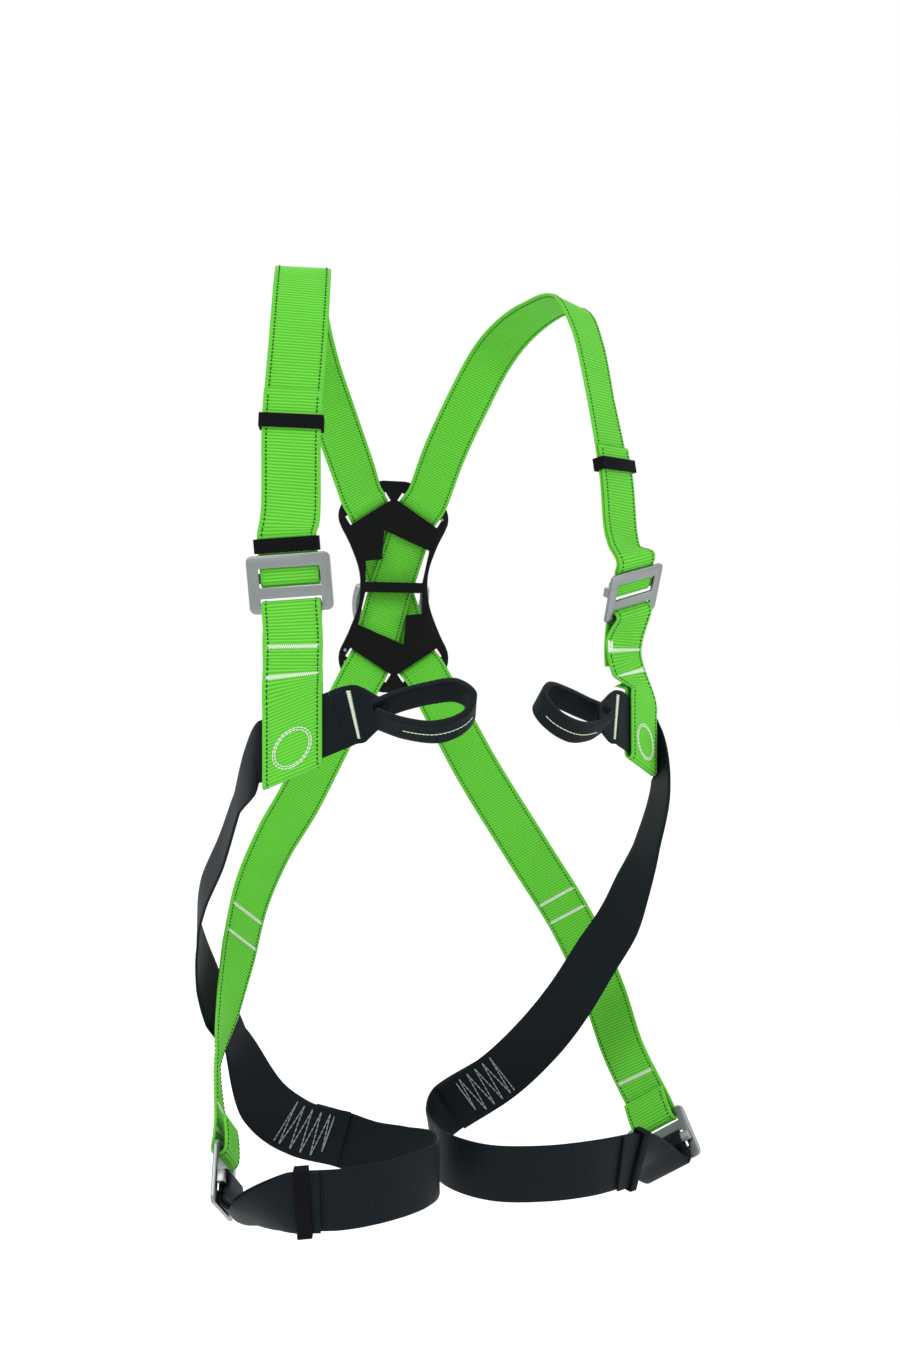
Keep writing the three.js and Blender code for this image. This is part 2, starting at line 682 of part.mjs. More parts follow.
addPiece("right_leg_band", band(rightBand), "black");
addPiece("left_leg_band", band(leftBand), "black");

// The thigh straps' tails lie on the outside of the bands, back to their keepers.
addPiece("right_leg_strap_tail",
  band(rightBand, { lift: TAIL_LIFT, spans: [7.6, rightBand.length - 1] }), "black");
addPiece("left_leg_strap_tail",
  band(leftBand, { lift: TAIL_LIFT, spans: [7.6, leftBand.length - 1] }), "black");

// ---------------------------------------------------------------- front attachment loops
// Each is a flat root as wide as the webbing and an eye of the same webbing folded lengthwise.
function frontLoop(root, eye) {
  const taper = (t) => WEB_WIDTH + (LOOP_WIDTH - 1 - WEB_WIDTH) * THREE.MathUtils.smoothstep(t, 0.35, 1);
  const swell = (t) => WEB_THICK + (LOOP_THICK - 1 - WEB_THICK) * THREE.MathUtils.smoothstep(t, 0.3, 1);
  return join([
    band(root, { widthAt: taper, thickAt: swell, steps: 4 }),
    band(eye, { width: LOOP_WIDTH, thick: LOOP_THICK }),
  ]);
}

const rightLoopRoot = [
  [-98.5, -265, -123.4, -0.24, -0.97, 0],
  [-92, -266.6, -120.7, -0.24, -0.97, 0],
  [-80, -276, -118.5, -0.28, -0.95, 0],
  [-66, -286, -117, -0.28, -0.95, 0],
];
const rightLoopEye = [
  [-76, -281, -117.5, 0, 0.7, 0.7],
  [-58, -282, -110, 0, 0.7, 0.7],
  [-34, -289, -103.5, 0.1, 0.7, 0.7],
  [-16, -299, -101.5, 0.5, 0.6, 0.6],
  [-7, -311, -110, 1, -0.1, 0.1],
  [-15, -320, -123, 0.5, -0.6, -0.6],
  [-34, -317, -131, -0.1, -0.7, -0.7],
  [-57, -302, -129, -0.1, -0.7, -0.7],
  [-74, -289, -122.5, -0.1, -0.7, -0.7],
];
const leftLoopRoot = [
  [144, -242, -127.9, 0.6, -0.8, 0],
  [138.4, -246.2, -125.3, 0.6, -0.8, 0],
  [126, -253, -124.5, 0.5, -0.87, 0],
  [113, -261, -123.5, 0.45, -0.89, 0],
];
const leftLoopEye = [
  [124, -252, -124, 0, 0.7, 0.7],
  [106, -251, -117, 0, 0.7, 0.7],
  [84, -258, -108.5, -0.1, 0.7, 0.7],
  [66, -267, -104.5, -0.5, 0.6, 0.6],
  [57, -280, -112, -1, -0.1, 0.1],
  [64, -291, -125, -0.5, -0.6, -0.6],
  [82, -289, -134, 0.1, -0.7, -0.7],
  [104, -276, -134, 0.1, -0.7, -0.7],
  [121, -262, -128.5, 0.1, -0.7, -0.7],
];
addPiece("right_front_loop", frontLoop(rightLoopRoot, rightLoopEye), "black");
addPiece("left_front_loop", frontLoop(leftLoopRoot, leftLoopEye), "black");

// ---------------------------------------------------------------- keepers on their straps
// at counts stations along the strap.
const keeperSpots = {
  right_chest_upper_keeper: { route: rightShoulder, at: 3 },
  right_chest_lower_keeper: { route: rightShoulder, at: 0.54 },
  left_chest_keeper: { route: leftShoulder, at: 3.1 },
  right_leg_keeper: { route: rightBand, at: 8.2 },
  left_leg_keeper: { route: leftBand, at: 8.5 },
};

function keeperSeat({ route, at }) {
  const rows = sampleRoute(route, 20);
  const row = rows[Math.round(20 * at)];
  const along = new THREE.Vector3().crossVectors(row.out, row.across).normalize();
  const middle = row.point.clone().addScaledVector(row.out, TAIL_LIFT / 2);
  return makeSeat(middle.toArray(), row.out.toArray(), along.toArray());
}

Object.entries(keeperSpots).forEach(([name, spot]) => {
  addPiece(name, keeper(keeperSeat(spot), 2), "elastic");
});

export default harness;
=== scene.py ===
# %% [markdown]
# # A full-body fall-arrest harness
# The harness hangs in the shape it has when worn. Its parts in maker's words: shoulder straps
# that cross behind a dorsal plate, hip straps, pelvic straps, thigh bands, four two-bar
# adjusters, elastic keepers, two front attachment loops and a dorsal ring.
# Lengths below are in millimetres until a mesh is made; the scene itself is in metres.

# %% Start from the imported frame
import math
import bmesh
import bpy
import numpy as np
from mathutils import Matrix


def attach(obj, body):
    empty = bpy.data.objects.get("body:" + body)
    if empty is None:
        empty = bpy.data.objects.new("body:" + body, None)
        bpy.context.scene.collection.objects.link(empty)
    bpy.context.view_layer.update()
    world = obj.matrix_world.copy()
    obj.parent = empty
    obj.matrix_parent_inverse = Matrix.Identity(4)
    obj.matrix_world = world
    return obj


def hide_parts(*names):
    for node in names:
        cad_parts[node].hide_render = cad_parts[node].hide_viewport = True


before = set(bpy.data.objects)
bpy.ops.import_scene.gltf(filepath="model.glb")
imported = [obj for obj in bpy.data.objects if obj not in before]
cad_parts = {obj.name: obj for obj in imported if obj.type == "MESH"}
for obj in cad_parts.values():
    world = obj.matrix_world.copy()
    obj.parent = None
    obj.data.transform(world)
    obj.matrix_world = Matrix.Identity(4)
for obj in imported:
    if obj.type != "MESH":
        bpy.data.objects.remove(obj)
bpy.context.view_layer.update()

# %% [markdown]
# ## Sizes
# One width of webbing is used everywhere. Its cross ribs are 2.5 mm apart and its edge
# stitches 3.3 mm apart.

# %% Sizes
MM = 0.001
WEB_WIDTH = 45.0
WEB_THICK = 2.2
LAYER_LIFT = 2.8
RIB_PITCH = 2.5
RIB_HEIGHT = 0.14
ROW_STEP = RIB_PITCH / 4
STITCH_PITCH = 3.3
FIXED_BAR_Z = -18.8
FIXED_LOOP_R = 5.2
SLIDER_Y, SLIDER_Z = 6.0, 4.6
WRAP_FRONT_Y, WRAP_BACK_Y, WRAP_BEND_Z = 2.8, 9.2, 1.8
WRAP_TOP = {"chest": 20.0, "leg": 14.0}
WRAP_END_GAP = 0.9
SLOT_X, SLOT_Z, SLOT_TILT = 27.0, 80.0, math.radians(33)
RING_AXIS_Y, RING_WIRE = 9.4, 10.0
NECK_WIDTH, NECK_THICK = 20, 4
EYE_WIDTH, EYE_THICK, EYE_RIB = 21, 5, 0.25
PATCH_HALF, PATCH_LEGS = 18.0, 9
DOT_CORNERS = 14
FLOOR_HALF, FLOOR_Z = 9, -0.68

# %% [markdown]
# ## Following a strap
# A strap's route is a short list of stations: a point on its middle line, the way its outer
# face looks there and, where it matters, the way across it. `follow` turns the list into
# close, evenly spaced rows, each with a point, a way across and a way out.

# %% Routes into rows
def unit(v):
    v = np.asarray(v, float)
    return v / np.linalg.norm(v)


def hermite(points, i, f):
    """Point and slope of a centripetal Catmull-Rom curve in span i, at fraction f."""
    last = len(points) - 1
    p1, p2 = points[i], points[i + 1]
    p0 = points[i - 1] if i > 0 else 2 * p1 - p2
    p3 = points[i + 2] if i + 2 <= last else 2 * p2 - p1
    d0, d1, d2 = (math.sqrt(np.linalg.norm(b - a)) for a, b in ((p0, p1), (p1, p2), (p2, p3)))
    m1 = ((p1 - p0) / d0 - (p2 - p0) / (d0 + d1) + (p2 - p1) / d1) * d1
    m2 = ((p2 - p1) / d1 - (p3 - p1) / (d1 + d2) + (p3 - p2) / d2) * d1
    c2 = 3 * (p2 - p1) - 2 * m1 - m2
    c3 = 2 * (p1 - p2) + m1 + m2
    return p1 + m1 * f + c2 * f * f + c3 * f ** 3, m1 + 2 * c2 * f + 3 * c3 * f * f


def follow(stations, spans=None, lift=0.0, step=ROW_STEP):
    points = np.array([s[:3] for s in stations], float)
    last = len(points) - 1
    ways = []
    for i, s in enumerate(stations):
        slope = hermite(points, min(i, last - 1), float(i == last))[1]
        way = np.array(s[6:9], float) if len(s) > 6 else unit(np.cross(slope, s[3:6]))
        if ways and np.dot(way, ways[-1]) < 0:
            way = -way
        ways.append(way)
    first, final = spans or (0, last)
    place, across, out = [], [], []
    for u in np.linspace(first, final, int((final - first) * 30) + 1):
        i = min(int(u), last - 1)
        f = u - i
        point, slope = hermite(points, i, f)
        reach = np.linalg.norm(ways[i]) * (1 - f) + np.linalg.norm(ways[i + 1]) * f
        way = unit(ways[i] * (1 - f) + ways[i + 1] * f) * reach
        place.append(point)
        across.append(way)
        out.append(unit(np.cross(way, slope)))
    place, across, out = map(np.array, (place, across, out))
    start_slope = hermite(points, 0, 0.0)[1]
    if np.dot(unit(np.cross(ways[0], start_slope)), stations[0][3:6]) < 0:
        out = -out
    place = place + out * lift
    run = np.concatenate([[0], np.cumsum(np.linalg.norm(np.diff(place, axis=0), axis=1))])
    even = np.linspace(0, run[-1], max(int(run[-1] / step), 2) + 1)
    again = lambda a: np.stack([np.interp(even, run, a[:, k]) for k in range(3)], axis=1)
    place, across, out = again(place), again(across), again(out)
    out /= np.linalg.norm(out, axis=1)[:, None]
    return {"s": even, "p": place, "a": across, "n": out}


# %% [markdown]
# ## Making webbing
# Each strap is one ribbon with round edges and real cross ribs on both faces. It carries a
# UV layer named "weave" that runs along and across it, which the material reads.

# %% Ribbons
PROFILE = [(-1.0, 0.25), (-0.985, 0.78), (-0.95, 1.0), (-0.72, 1.0), (-0.4, 1.0), (0.0, 1.0),
           (0.4, 1.0), (0.72, 1.0), (0.95, 1.0), (0.985, 0.78), (1.0, 0.25)]


def mesh_object(name, verts, faces, smooth=True):
    mesh = bpy.data.meshes.new(name)
    mesh.from_pydata((np.asarray(verts) * MM).tolist(), [], faces)
    mesh.polygons.foreach_set("use_smooth", [smooth] * len(mesh.polygons))
    mesh.update()
    obj = bpy.data.objects.new(name, mesh)
    bpy.context.scene.collection.objects.link(obj)
    return obj


def ribbon(name, rows, width=WEB_WIDTH, thick=WEB_THICK, rib=RIB_HEIGHT):
    count = len(rows["s"])
    widths = np.broadcast_to(width, (count,))
    thicks = np.broadcast_to(thick, (count,))
    loop = PROFILE + [(u, -v) for u, v in reversed(PROFILE)]
    ribbed = np.array([abs(u) < 0.9 for u, _ in loop], float)
    us = np.array([u for u, _ in loop])
    vs = np.array([v for _, v in loop])
    wave = rib * (0.5 + 0.5 * np.cos(2 * math.pi * rows["s"] / RIB_PITCH)) - rib
    verts = rows["p"][:, None] + rows["a"][:, None] * (us[None, :, None] * widths[:, None, None] / 2)
    height = vs[None, :] * (thicks[:, None] / 2) + np.sign(vs)[None, :] * ribbed[None, :] * wave[:, None]
    verts = (verts + rows["n"][:, None] * height[:, :, None]).reshape(-1, 3)
    n = len(loop)
    faces = []
    for i in range(count - 1):
        for k in range(n):
            faces.append((n * i + k, n * i + (k + 1) % n, n * (i + 1) + (k + 1) % n, n * (i + 1) + k))
    faces.append(tuple(reversed(range(n))))
    faces.append(tuple(range(n * (count - 1), n * count)))
    obj = mesh_object(name, verts, faces)
    layer = obj.data.uv_layers.new(name="weave")
    index = np.empty(len(obj.data.loops), int)
    obj.data.loops.foreach_get("vertex_index", index)
    along = np.repeat(rows["s"] * MM, n)
    aside = (us[None, :] * widths[:, None] / 2 * MM).reshape(-1)
    layer.data.foreach_set("uv", np.stack([along[index], aside[index]], axis=1).ravel())
    bm = bmesh.new()
    bm.from_mesh(obj.data)
    bmesh.ops.recalc_face_normals(bm, faces=bm.faces)
    bm.to_mesh(obj.data)
    bm.free()
    return obj


# %% [markdown]
# ## Sewing
# Every stitch is a short thread that dips at both ends. `on_face` gives a point on a strap's
# outer (+1) or inner (-1) face from its distance along and across the strap.

# %% Threads
def on_face(rows, s, x, side=1, thick=WEB_THICK, lift=0.0):
    s = np.atleast_1d(np.asarray(s, float))
    x = np.broadcast_to(np.asarray(x, float), s.shape)
    pick = lambda a: np.stack([np.interp(s, rows["s"], a[:, k]) for k in range(3)], axis=1)
    out = pick(rows["n"]) * side
    return pick(rows["p"]) + pick(rows["a"]) * x[:, None] + out * (thick / 2 + lift), out


def threads(name, starts, ends, normals, radius):
    """One mesh of flat-bottomed stitches, each an arch from a start to an end."""
    verts, faces = [], []
    for a, b, n in zip(starts, ends, normals):
        along = b - a
        length = np.linalg.norm(along)
        if length < 1e-6:
            continue
        side = unit(np.cross(along, n))
        base = len(verts)
        for f, r, h in ((0, 0.45, -0.6), (0.2, 1, 0.5), (0.8, 1, 0.5), (1, 0.45, -0.6)):
            middle = a + along * f + n * radius * h
            for angle in range(0, 360, 72):
                t = math.radians(angle)
                verts.append(middle + (side * math.cos(t) + n * 0.7 * math.sin(t)) * radius * r)
        for ring in range(3):
            for k in range(5):
                p, q = base + 5 * ring + k, base + 5 * ring + (k + 1) % 5
                faces.append((p, q, q + 5, p + 5))
        faces.append(tuple(base + k for k in (4, 3, 2, 1, 0)))
        faces.append(tuple(base + 15 + k for k in range(5)))
    return mesh_object(name, verts, faces)


def edge_stitches(name, rows, inset=3.6, sides=(1, -1), ends=2.0):
    """Lines of stitches just inside both edges, on the strap's faces."""
    starts, stops, normals = [], [], []
    s = np.arange(ends, rows["s"][-1] - ends - STITCH_PITCH, STITCH_PITCH)
    for side in sides:
        for x in (-(WEB_WIDTH / 2 - inset), WEB_WIDTH / 2 - inset):
            a, n = on_face(rows, s, x, side)
            b, _ = on_face(rows, s + STITCH_PITCH * 0.72, x, side)
            starts += list(a)
            stops += list(b)
            normals += list(n)
    return threads(name, starts, stops, normals, 0.55)


def sewn_path(rows, path, side=1, thick=WEB_THICK, lift=0.0):
    """Stitches between the points of a path given as (along, across) on a strap's face."""
    path = np.array(path, float)
    points, normals = on_face(rows, path[:, 0], path[:, 1], side, thick, lift)
    return list(points[:-1]), list(points[1:]), list(normals[:-1])


def bartack_path(s, half=19.5, length=3.6, count=54):
    x = np.linspace(-half, half, count)
    return [(s + (length / 2 if k % 2 else -length / 2), v) for k, v in enumerate(x)]


def circle_path(s, x, radius, count=30):
    turn = np.linspace(0, 2 * math.pi, count + 1)
    return [(s + radius * math.cos(t), x + radius * math.sin(t)) for t in turn]


def zigzag_path(s0, s1, half, legs):
    s = np.linspace(s0, s1, legs + 1)
    path = []
    for k in range(legs):
        low, high = (-half, half) if k % 2 else (half, -half)
        xs = np.linspace(low, high, 9)
        path += [(s[k] + (s[k + 1] - s[k]) * j / 8, xs[j]) for j in range(8)]
    return path + [(s1, half if legs % 2 else -half)]


def sew(name, *paths, radius=0.45):
    a, b, n = [], [], []
    for starts, stops, normals in paths:
        a += starts
        b += stops
        n += normals
    return threads(name, a, b, n, radius)

# %% [markdown]
# ## Where the adjusters sit
# A seat is an adjuster's own frame: across along its bars, back away from its front and up
# from the fixed bar to the sliding bar.

# %% Seats
def seat(middle, front, up):
    f = unit(front)
    u = np.array(up, float)
    u = unit(u - f * np.dot(u, f))
    return {"o": np.array(middle, float), "x": unit(np.cross(u, f)), "y": -f, "z": u}


def in_seat(st, pairs):
    """Stations from (y, z, face y, face z) in a seat's middle plane."""
    made = []
    for y, z, ny, nz in pairs:
        p = st["o"] + st["y"] * y + st["z"] * z
        made.append([*p, *(st["y"] * ny + st["z"] * nz), *st["x"]])
    return made


def arc(y, z, r, start, stop, steps):
    turns = [math.radians(start + (stop - start) * i / steps) for i in range(steps + 1)]
    return [(y + r * math.cos(t), z + r * math.sin(t), math.cos(t), math.sin(t)) for t in turns]


SEATS = {
    "right_chest": seat((-134.6, -252, -20), (-0.24, -0.96, -0.1), (-0.1, -0.1, 1)),
    "left_chest": seat((160, -229, -20), (0.45, -0.8, -0.42), (-0.08, -0.45, 1)),
    "right_leg": seat((-183, -236, -476), (-0.966, 0.259, -0.1), (-0.166, -0.621, -0.766)),
    "left_leg": seat((207, -190, -512), (0.8, 0.5, -0.33), (0.405, -0.42, -0.8)),
}


def leaving(st, place, step):
    """Where the webbing leaves an adjuster, past its turn round the sliding bar."""
    z = WRAP_TOP[place] + WRAP_END_GAP
    y = WRAP_FRONT_Y + LAYER_LIFT
    return in_seat(st, [(y, z, -1, 0), (y, z + step, -1, 0)])


def bar_turn(st, place):
    """Down behind the sliding bar, under it and up in front of it."""
    top = WRAP_TOP[place]
    y = WRAP_FRONT_Y + LAYER_LIFT
    under = arc(SLIDER_Y, WRAP_BEND_Z, (WRAP_BACK_Y - WRAP_FRONT_Y) / 2, 0, -180, 6)
    return in_seat(st, [(y, top, -1, 0), (y, top - 1, -1, 0), (WRAP_BACK_Y, 9, -1, 0)]
                   + [(a, b, -c, -d) for a, b, c, d in under]
                   + [(WRAP_FRONT_Y, 6, 1, 0), (WRAP_FRONT_Y, top, 1, 0)])


# %% [markdown]
# ## Shoulder and hip straps
# Up the chest, over the shoulder, through the plate's upper slot, across behind the plate
# over the ring's bar, and out again through the lower slot on the other side.

# %% Routes of the long straps
SIN, COS = math.sin(SLOT_TILT), math.cos(SLOT_TILT)


def slot_pass(sx, sz):
    return [[sx * (SLOT_X + r * SIN), y, sz * (SLOT_Z + r * COS), 0, 1, 0, COS, 0, -sx * sz * SIN]
            for r, y in ((12, -2), (5, -1.7), (0, 2), (-5, 5.7))]


def behind_slot(sx, sz, r):
    return [sx * (SLOT_X - r * SIN), 6.1, sz * (SLOT_Z - r * COS), 0, 1, 0, COS, 0, -sx * sz * SIN]


def crossing(sx, lift):
    over = RING_AXIS_Y + RING_WIRE / 2 + 0.4 + WEB_THICK / 2
    return slot_pass(sx, 1) + [
        [sx * 21, 7 + lift, 66, 0, 1, 0.2], [sx * 15, 9 + lift, 48, 0, 1, 0.2],
        [sx * 8, over - 3 + lift, 25, 0, 1, 0.2], [0, over + lift, 0, 0, 1, 0],
        [sx * -8, over - 3 + lift, -25, 0, 1, -0.2], [sx * -15, 9 + lift, -48, 0, 1, -0.2],
        [sx * -21, 7 + lift, -66, 0, 1, -0.2], behind_slot(-sx, -1, 8)]


RIGHT_SHOULDER = leaving(SEATS["right_chest"], "chest", 14.7) + [
    [-134, -250, 30, -0.24, -0.97, 0.02], [-132.5, -246, 103, -0.2, -0.97, 0.08],
    [-126, -234, 175, -0.15, -0.95, 0.2], [-121, -217, 222, -0.1, -0.9, 0.4],
    [-118, -200, 240, -0.05, -0.4, 0.9], [-115, -165, 247, 0, 0.1, 1],
    [-107, -112, 232, 0, 0.6, 0.8], [-88, -62, 200, -0.05, 0.85, 0.5],
    [-64, -27, 158, -0.05, 0.92, 0.35], [-44, -8, 116, -0.02, 0.97, 0.2],
] + crossing(-1, 3.4)
LEFT_SHOULDER = leaving(SEATS["left_chest"], "chest", 8.7) + [
    [152, -224, 22, 0.5, -0.86, -0.05], [147, -219, 83, 0.52, -0.85, 0.05],
    [136, -214, 150, 0.56, -0.8, 0.15], [127, -206, 205, 0.5, -0.8, 0.3],
    [119, -190, 236, 0.3, -0.4, 0.87], [110, -142, 247, 0.1, 0, 1],
    [98, -90, 242, 0.1, 0.4, 0.9], [88, -50, 226, 0.05, 0.8, 0.55],
    [72, -27, 190, 0.05, 0.95, 0.25], [50, -12, 138, 0.02, 0.97, 0.2],
] + crossing(1, 0)


def leg_loop(st):
    low = FIXED_BAR_Z
    return in_seat(st, [(-FIXED_LOOP_R + 1, low - 14, -1, 0)]
                   + arc(0, low, FIXED_LOOP_R, 180, 0, 8)
                   + [(FIXED_LOOP_R - 0.6, low - 12, 1, 0), (2.4, low - 24, 1, 0)])


def hip_start(sx):
    return [behind_slot(sx, -1, 7.5)] + slot_pass(sx, -1)[::-1]


RIGHT_HIP = hip_start(-1) + [
    [-98, -12, -212, 0, 1, 0], [-127, -46, -250, -0.3, 0.95, 0], [-150, -81, -290, -0.48, 0.88, 0],
    [-164, -116, -332, -0.6, 0.8, 0], [-175, -150, -367, -0.82, 0.57, 0],
    [-185, -182, -402, -0.97, 0.1, 0],
] + leg_loop(SEATS["right_leg"])
LEFT_HIP = hip_start(1) + [
    [76, -40, -184, 0.2, 0.97, 0], [119, -70, -263, 0.3, 0.95, 0], [160, -90, -335, 0.45, 0.88, 0],
    [181, -115, -395, 0.6, 0.78, 0], [191, -140, -445, 0.7, 0.7, 0],
] + leg_loop(SEATS["left_leg"])

# %% [markdown]
# ## Lower chest straps
# Each hangs from the adjuster's fixed bar in two layers and folds round the lower edge of
# the black webbing.

# %% Routes of the lower chest straps
FOLD_SLOPE, FOLD_DEPTH, FOLD_HALF = 0.42, 25.5, 3.0


def lower_chest(st, fold, lean):
    x, y, z = fold["middle"]
    n = unit(fold["face"])
    skew = lean * FOLD_SLOPE

    def at(out, drop, face_out, face_down):
        return [x + n[0] * out, y + n[1] * out, z - drop, n[0] * face_out, n[1] * face_out,
                face_down, -n[1], n[0], skew]

    h, d = FOLD_HALF, FOLD_DEPTH
    return (fold["upper_back"] + in_seat(st, arc(0, FIXED_BAR_Z, FIXED_LOOP_R, 0, 180, 8))
            + fold["upper_front"]
            + [at(h, -d - 5, 1, 0), at(h, -d + 2, 1, 0), at(h, 0, 1, 0), at(h, d * 0.6, 1, 0),
               at(h, d, 1, -0.2), at(h * 0.7, d + h * 0.8, 0.7, -0.7), at(0, d + h * 1.15, 0, -1),
               at(-h * 0.7, d + h * 0.8, -0.7, -0.7), at(-h, d, -1, -0.2), at(-h, d * 0.6, -1, 0),
               at(-h, 0, -1, 0), at(-h, -d + 2, -1, 0), at(-h, -d - 5, -1, 0)]
            + fold["back_end"])


RIGHT_FOLD = {
    "middle": (-133, -256.5, -138), "face": (-0.24, -0.97, 0),
    "upper_back": [[-132.6, -251, -84, 0.24, 0.96, 0], [-132.6, -247.5, -64, 0.24, 0.96, 0]],
    "upper_front": [[-132.8, -257.2, -62, -0.24, -0.96, 0], [-133, -256.6, -84, -0.24, -0.96, 0]],
    "back_end": [[-132.6, -252, -94, 0.24, 0.96, 0]],
}
LEFT_FOLD = {
    "middle": (170, -222.5, -140), "face": (0.6, -0.8, 0),
    "upper_back": [[156.5, -214, -84, -0.42, 0.9, 0], [157, -212, -66, -0.42, 0.9, 0]],
    "upper_front": [[154.5, -222.5, -62, 0.4, -0.92, 0], [158, -221.5, -84, 0.5, -0.87, 0]],
    "back_end": [[161, -216.5, -94, -0.55, 0.84, 0]],
}
RIGHT_LOWER = lower_chest(SEATS["right_chest"], RIGHT_FOLD, 1)
LEFT_LOWER = lower_chest(SEATS["left_chest"], LEFT_FOLD, -1)

# %% [markdown]
# ## Black straps
# The pelvic straps go from the chest folds over the hips to the backs of the thighs. The
# thigh bands start behind their sewn ends and finish at the leg adjusters.

# %% Routes of the black straps
RIGHT_PELVIC = [
    [-99, -264.9, -123.6, -0.24, -0.97, 0], [-133, -256.5, -138, -0.24, -0.97, 0],
    [-156, -250.8, -147.7, -0.24, -0.97, 0, 0, 0, 1.05],
    [-158, -250.3, -148.5, -0.24, -0.97, 0, 0, 0, 1.05],
    [-165, -240, -167, -0.8, -0.6, 0, -0.1, 0.75, 0.65],
    [-172, -219, -190, -0.95, -0.25, 0, 0, 0.95, 0.25], [-183, -200, -230, -1, 0, 0],
    [-197, -178, -270, -1, 0, 0], [-200, -161, -303, -1, 0.05, 0],
    [-194, -152, -340, -0.93, 0.35, 0], [-183, -138, -374, -0.85, 0.5, 0],
    [-168, -133, -404, -0.9, 0.42, 0], [-146, -152, -452, -0.4, 0.9, -0.1],
    [-118, -163, -473, 0, 1, -0.1], [-80, -171, -484, 0, 1, -0.1],
]
LEFT_PELVIC = [
    [144.4, -241.7, -128.1, 0.6, -0.8, 0], [170, -222.5, -140, 0.6, -0.8, 0],
    [190.4, -207.2, -149.3, 0.6, -0.8, 0, 0, 0, 1.06], [197, -205, -188, 1, -0.1, 0],
    [180, -212, -240, 1, 0.06, 0], [167, -212, -273, 0.97, 0.25, 0],
    [157, -205, -305, 0.9, 0.4, 0], [141, -193, -338, 0.85, 0.5, 0],
    [120, -178, -381, 0.78, 0.6, 0], [98, -164, -416, 0.66, 0.75, 0],
    [66, -149, -452, 0.4, 0.9, -0.1], [24, -132, -484, 0.2, 0.97, -0.1],
]


def band_end(st):
    bend = in_seat(st, [(12, 23, -0.3, 0.95), (7, 20, -0.8, 0.6)])
    return bend + leaving(st, "leg", 2)[::-1]


RIGHT_BAND = [
    [-108, -160.6, -477.6, 0, 1, -0.1], [-82, -166.3, -485.5, 0, 1, -0.1],
    [-56, -176, -493, 0.1, 1, -0.1], [-28, -196, -492, 0.8, 0.6, 0], [-15, -232, -483, 1, 0, 0],
    [-28, -272, -474, 0.6, -0.8, 0], [-62, -293, -471, 0.2, -0.98, 0],
    [-100, -296, -472, 0, -1, 0], [-127, -291.6, -472, -0.08, -1, -0.03],
    [-137, -288.9, -472.8, -0.15, -1, -0.05], [-154, -281, -478, -0.15, -0.9, -0.35],
    [-168, -266, -486, -0.15, -0.7, -0.7, -0.48, -0.55, 0.68],
] + band_end(SEATS["right_leg"])
LEFT_BAND = [
    [62, -143.4, -458, 0.3, 0.95, -0.1], [24, -128.1, -484.5, 0.2, 0.97, -0.1],
    [6, -138, -496, -0.5, 0.85, 0], [-2, -178, -498, -1, 0, 0], [4, -215, -494, -0.9, -0.4, 0],
    [28, -247, -491, -0.5, -0.85, 0], [68, -262, -489.5, -0.1, -1, 0],
    [110, -262, -490, 0.1, -1, 0], [148, -247, -494.5, 0.33, -0.93, -0.08],
    [158, -240, -497, 0.4, -0.9, -0.14], [176, -224, -507, 0.2, -0.75, -0.6],
] + band_end(SEATS["left_leg"])

# %% [markdown]
# ## Front loops
# A flat root as wide as the webbing narrows into an eye of the same webbing, folded
# lengthwise.

# %% Routes of the front loops
RIGHT_ROOT = [[-98.9, -264.92, -123.56, -0.24, -0.97, 0], [-92, -266.6, -120.7, -0.24, -0.97, 0],
              [-80, -276, -118.5, -0.28, -0.95, 0], [-66, -286, -117, -0.28, -0.95, 0]]
RIGHT_EYE = [
    [-76, -281, -117.5, 0, 0.7, 0.7], [-58, -282, -110, 0, 0.7, 0.7],
    [-34, -289, -103.5, 0.1, 0.7, 0.7], [-16, -299, -101.5, 0.5, 0.6, 0.6],
    [-7, -311, -110, 1, -0.1, 0.1], [-15, -320, -123, 0.5, -0.6, -0.6],
    [-34, -317, -131, -0.1, -0.7, -0.7], [-57, -302, -129, -0.1, -0.7, -0.7],
    [-74, -289, -122.5, -0.1, -0.7, -0.7]]
LEFT_ROOT = [[144.3, -241.78, -128.05, 0.6, -0.8, 0], [138.4, -246.2, -125.3, 0.6, -0.8, 0],
             [126, -253, -124.5, 0.5, -0.87, 0], [113, -261, -123.5, 0.45, -0.89, 0]]
LEFT_EYE = [
    [124, -252, -124, 0, 0.7, 0.7], [106, -251, -117, 0, 0.7, 0.7],
    [84, -258, -108.5, -0.1, 0.7, 0.7], [66, -267, -104.5, -0.5, 0.6, 0.6],
    [57, -280, -112, -1, -0.1, 0.1], [64, -291, -125, -0.5, -0.6, -0.6],
    [82, -289, -134, 0.1, -0.7, -0.7], [104, -276, -134, 0.1, -0.7, -0.7],
    [121, -262, -128.5, 0.1, -0.7, -0.7]]

# %% [markdown]
# ## Materials
# All of them are procedural. Webbing is dull with a soft sheen; its selvedges are darker and
# the valleys between its ribs are darkened with painted shade.

# %% Materials
def new_material(name):
    made = bpy.data.materials.new(name)
    made.use_nodes = True
    tree = made.node_tree
    return made, tree, tree.nodes["Principled BSDF"]


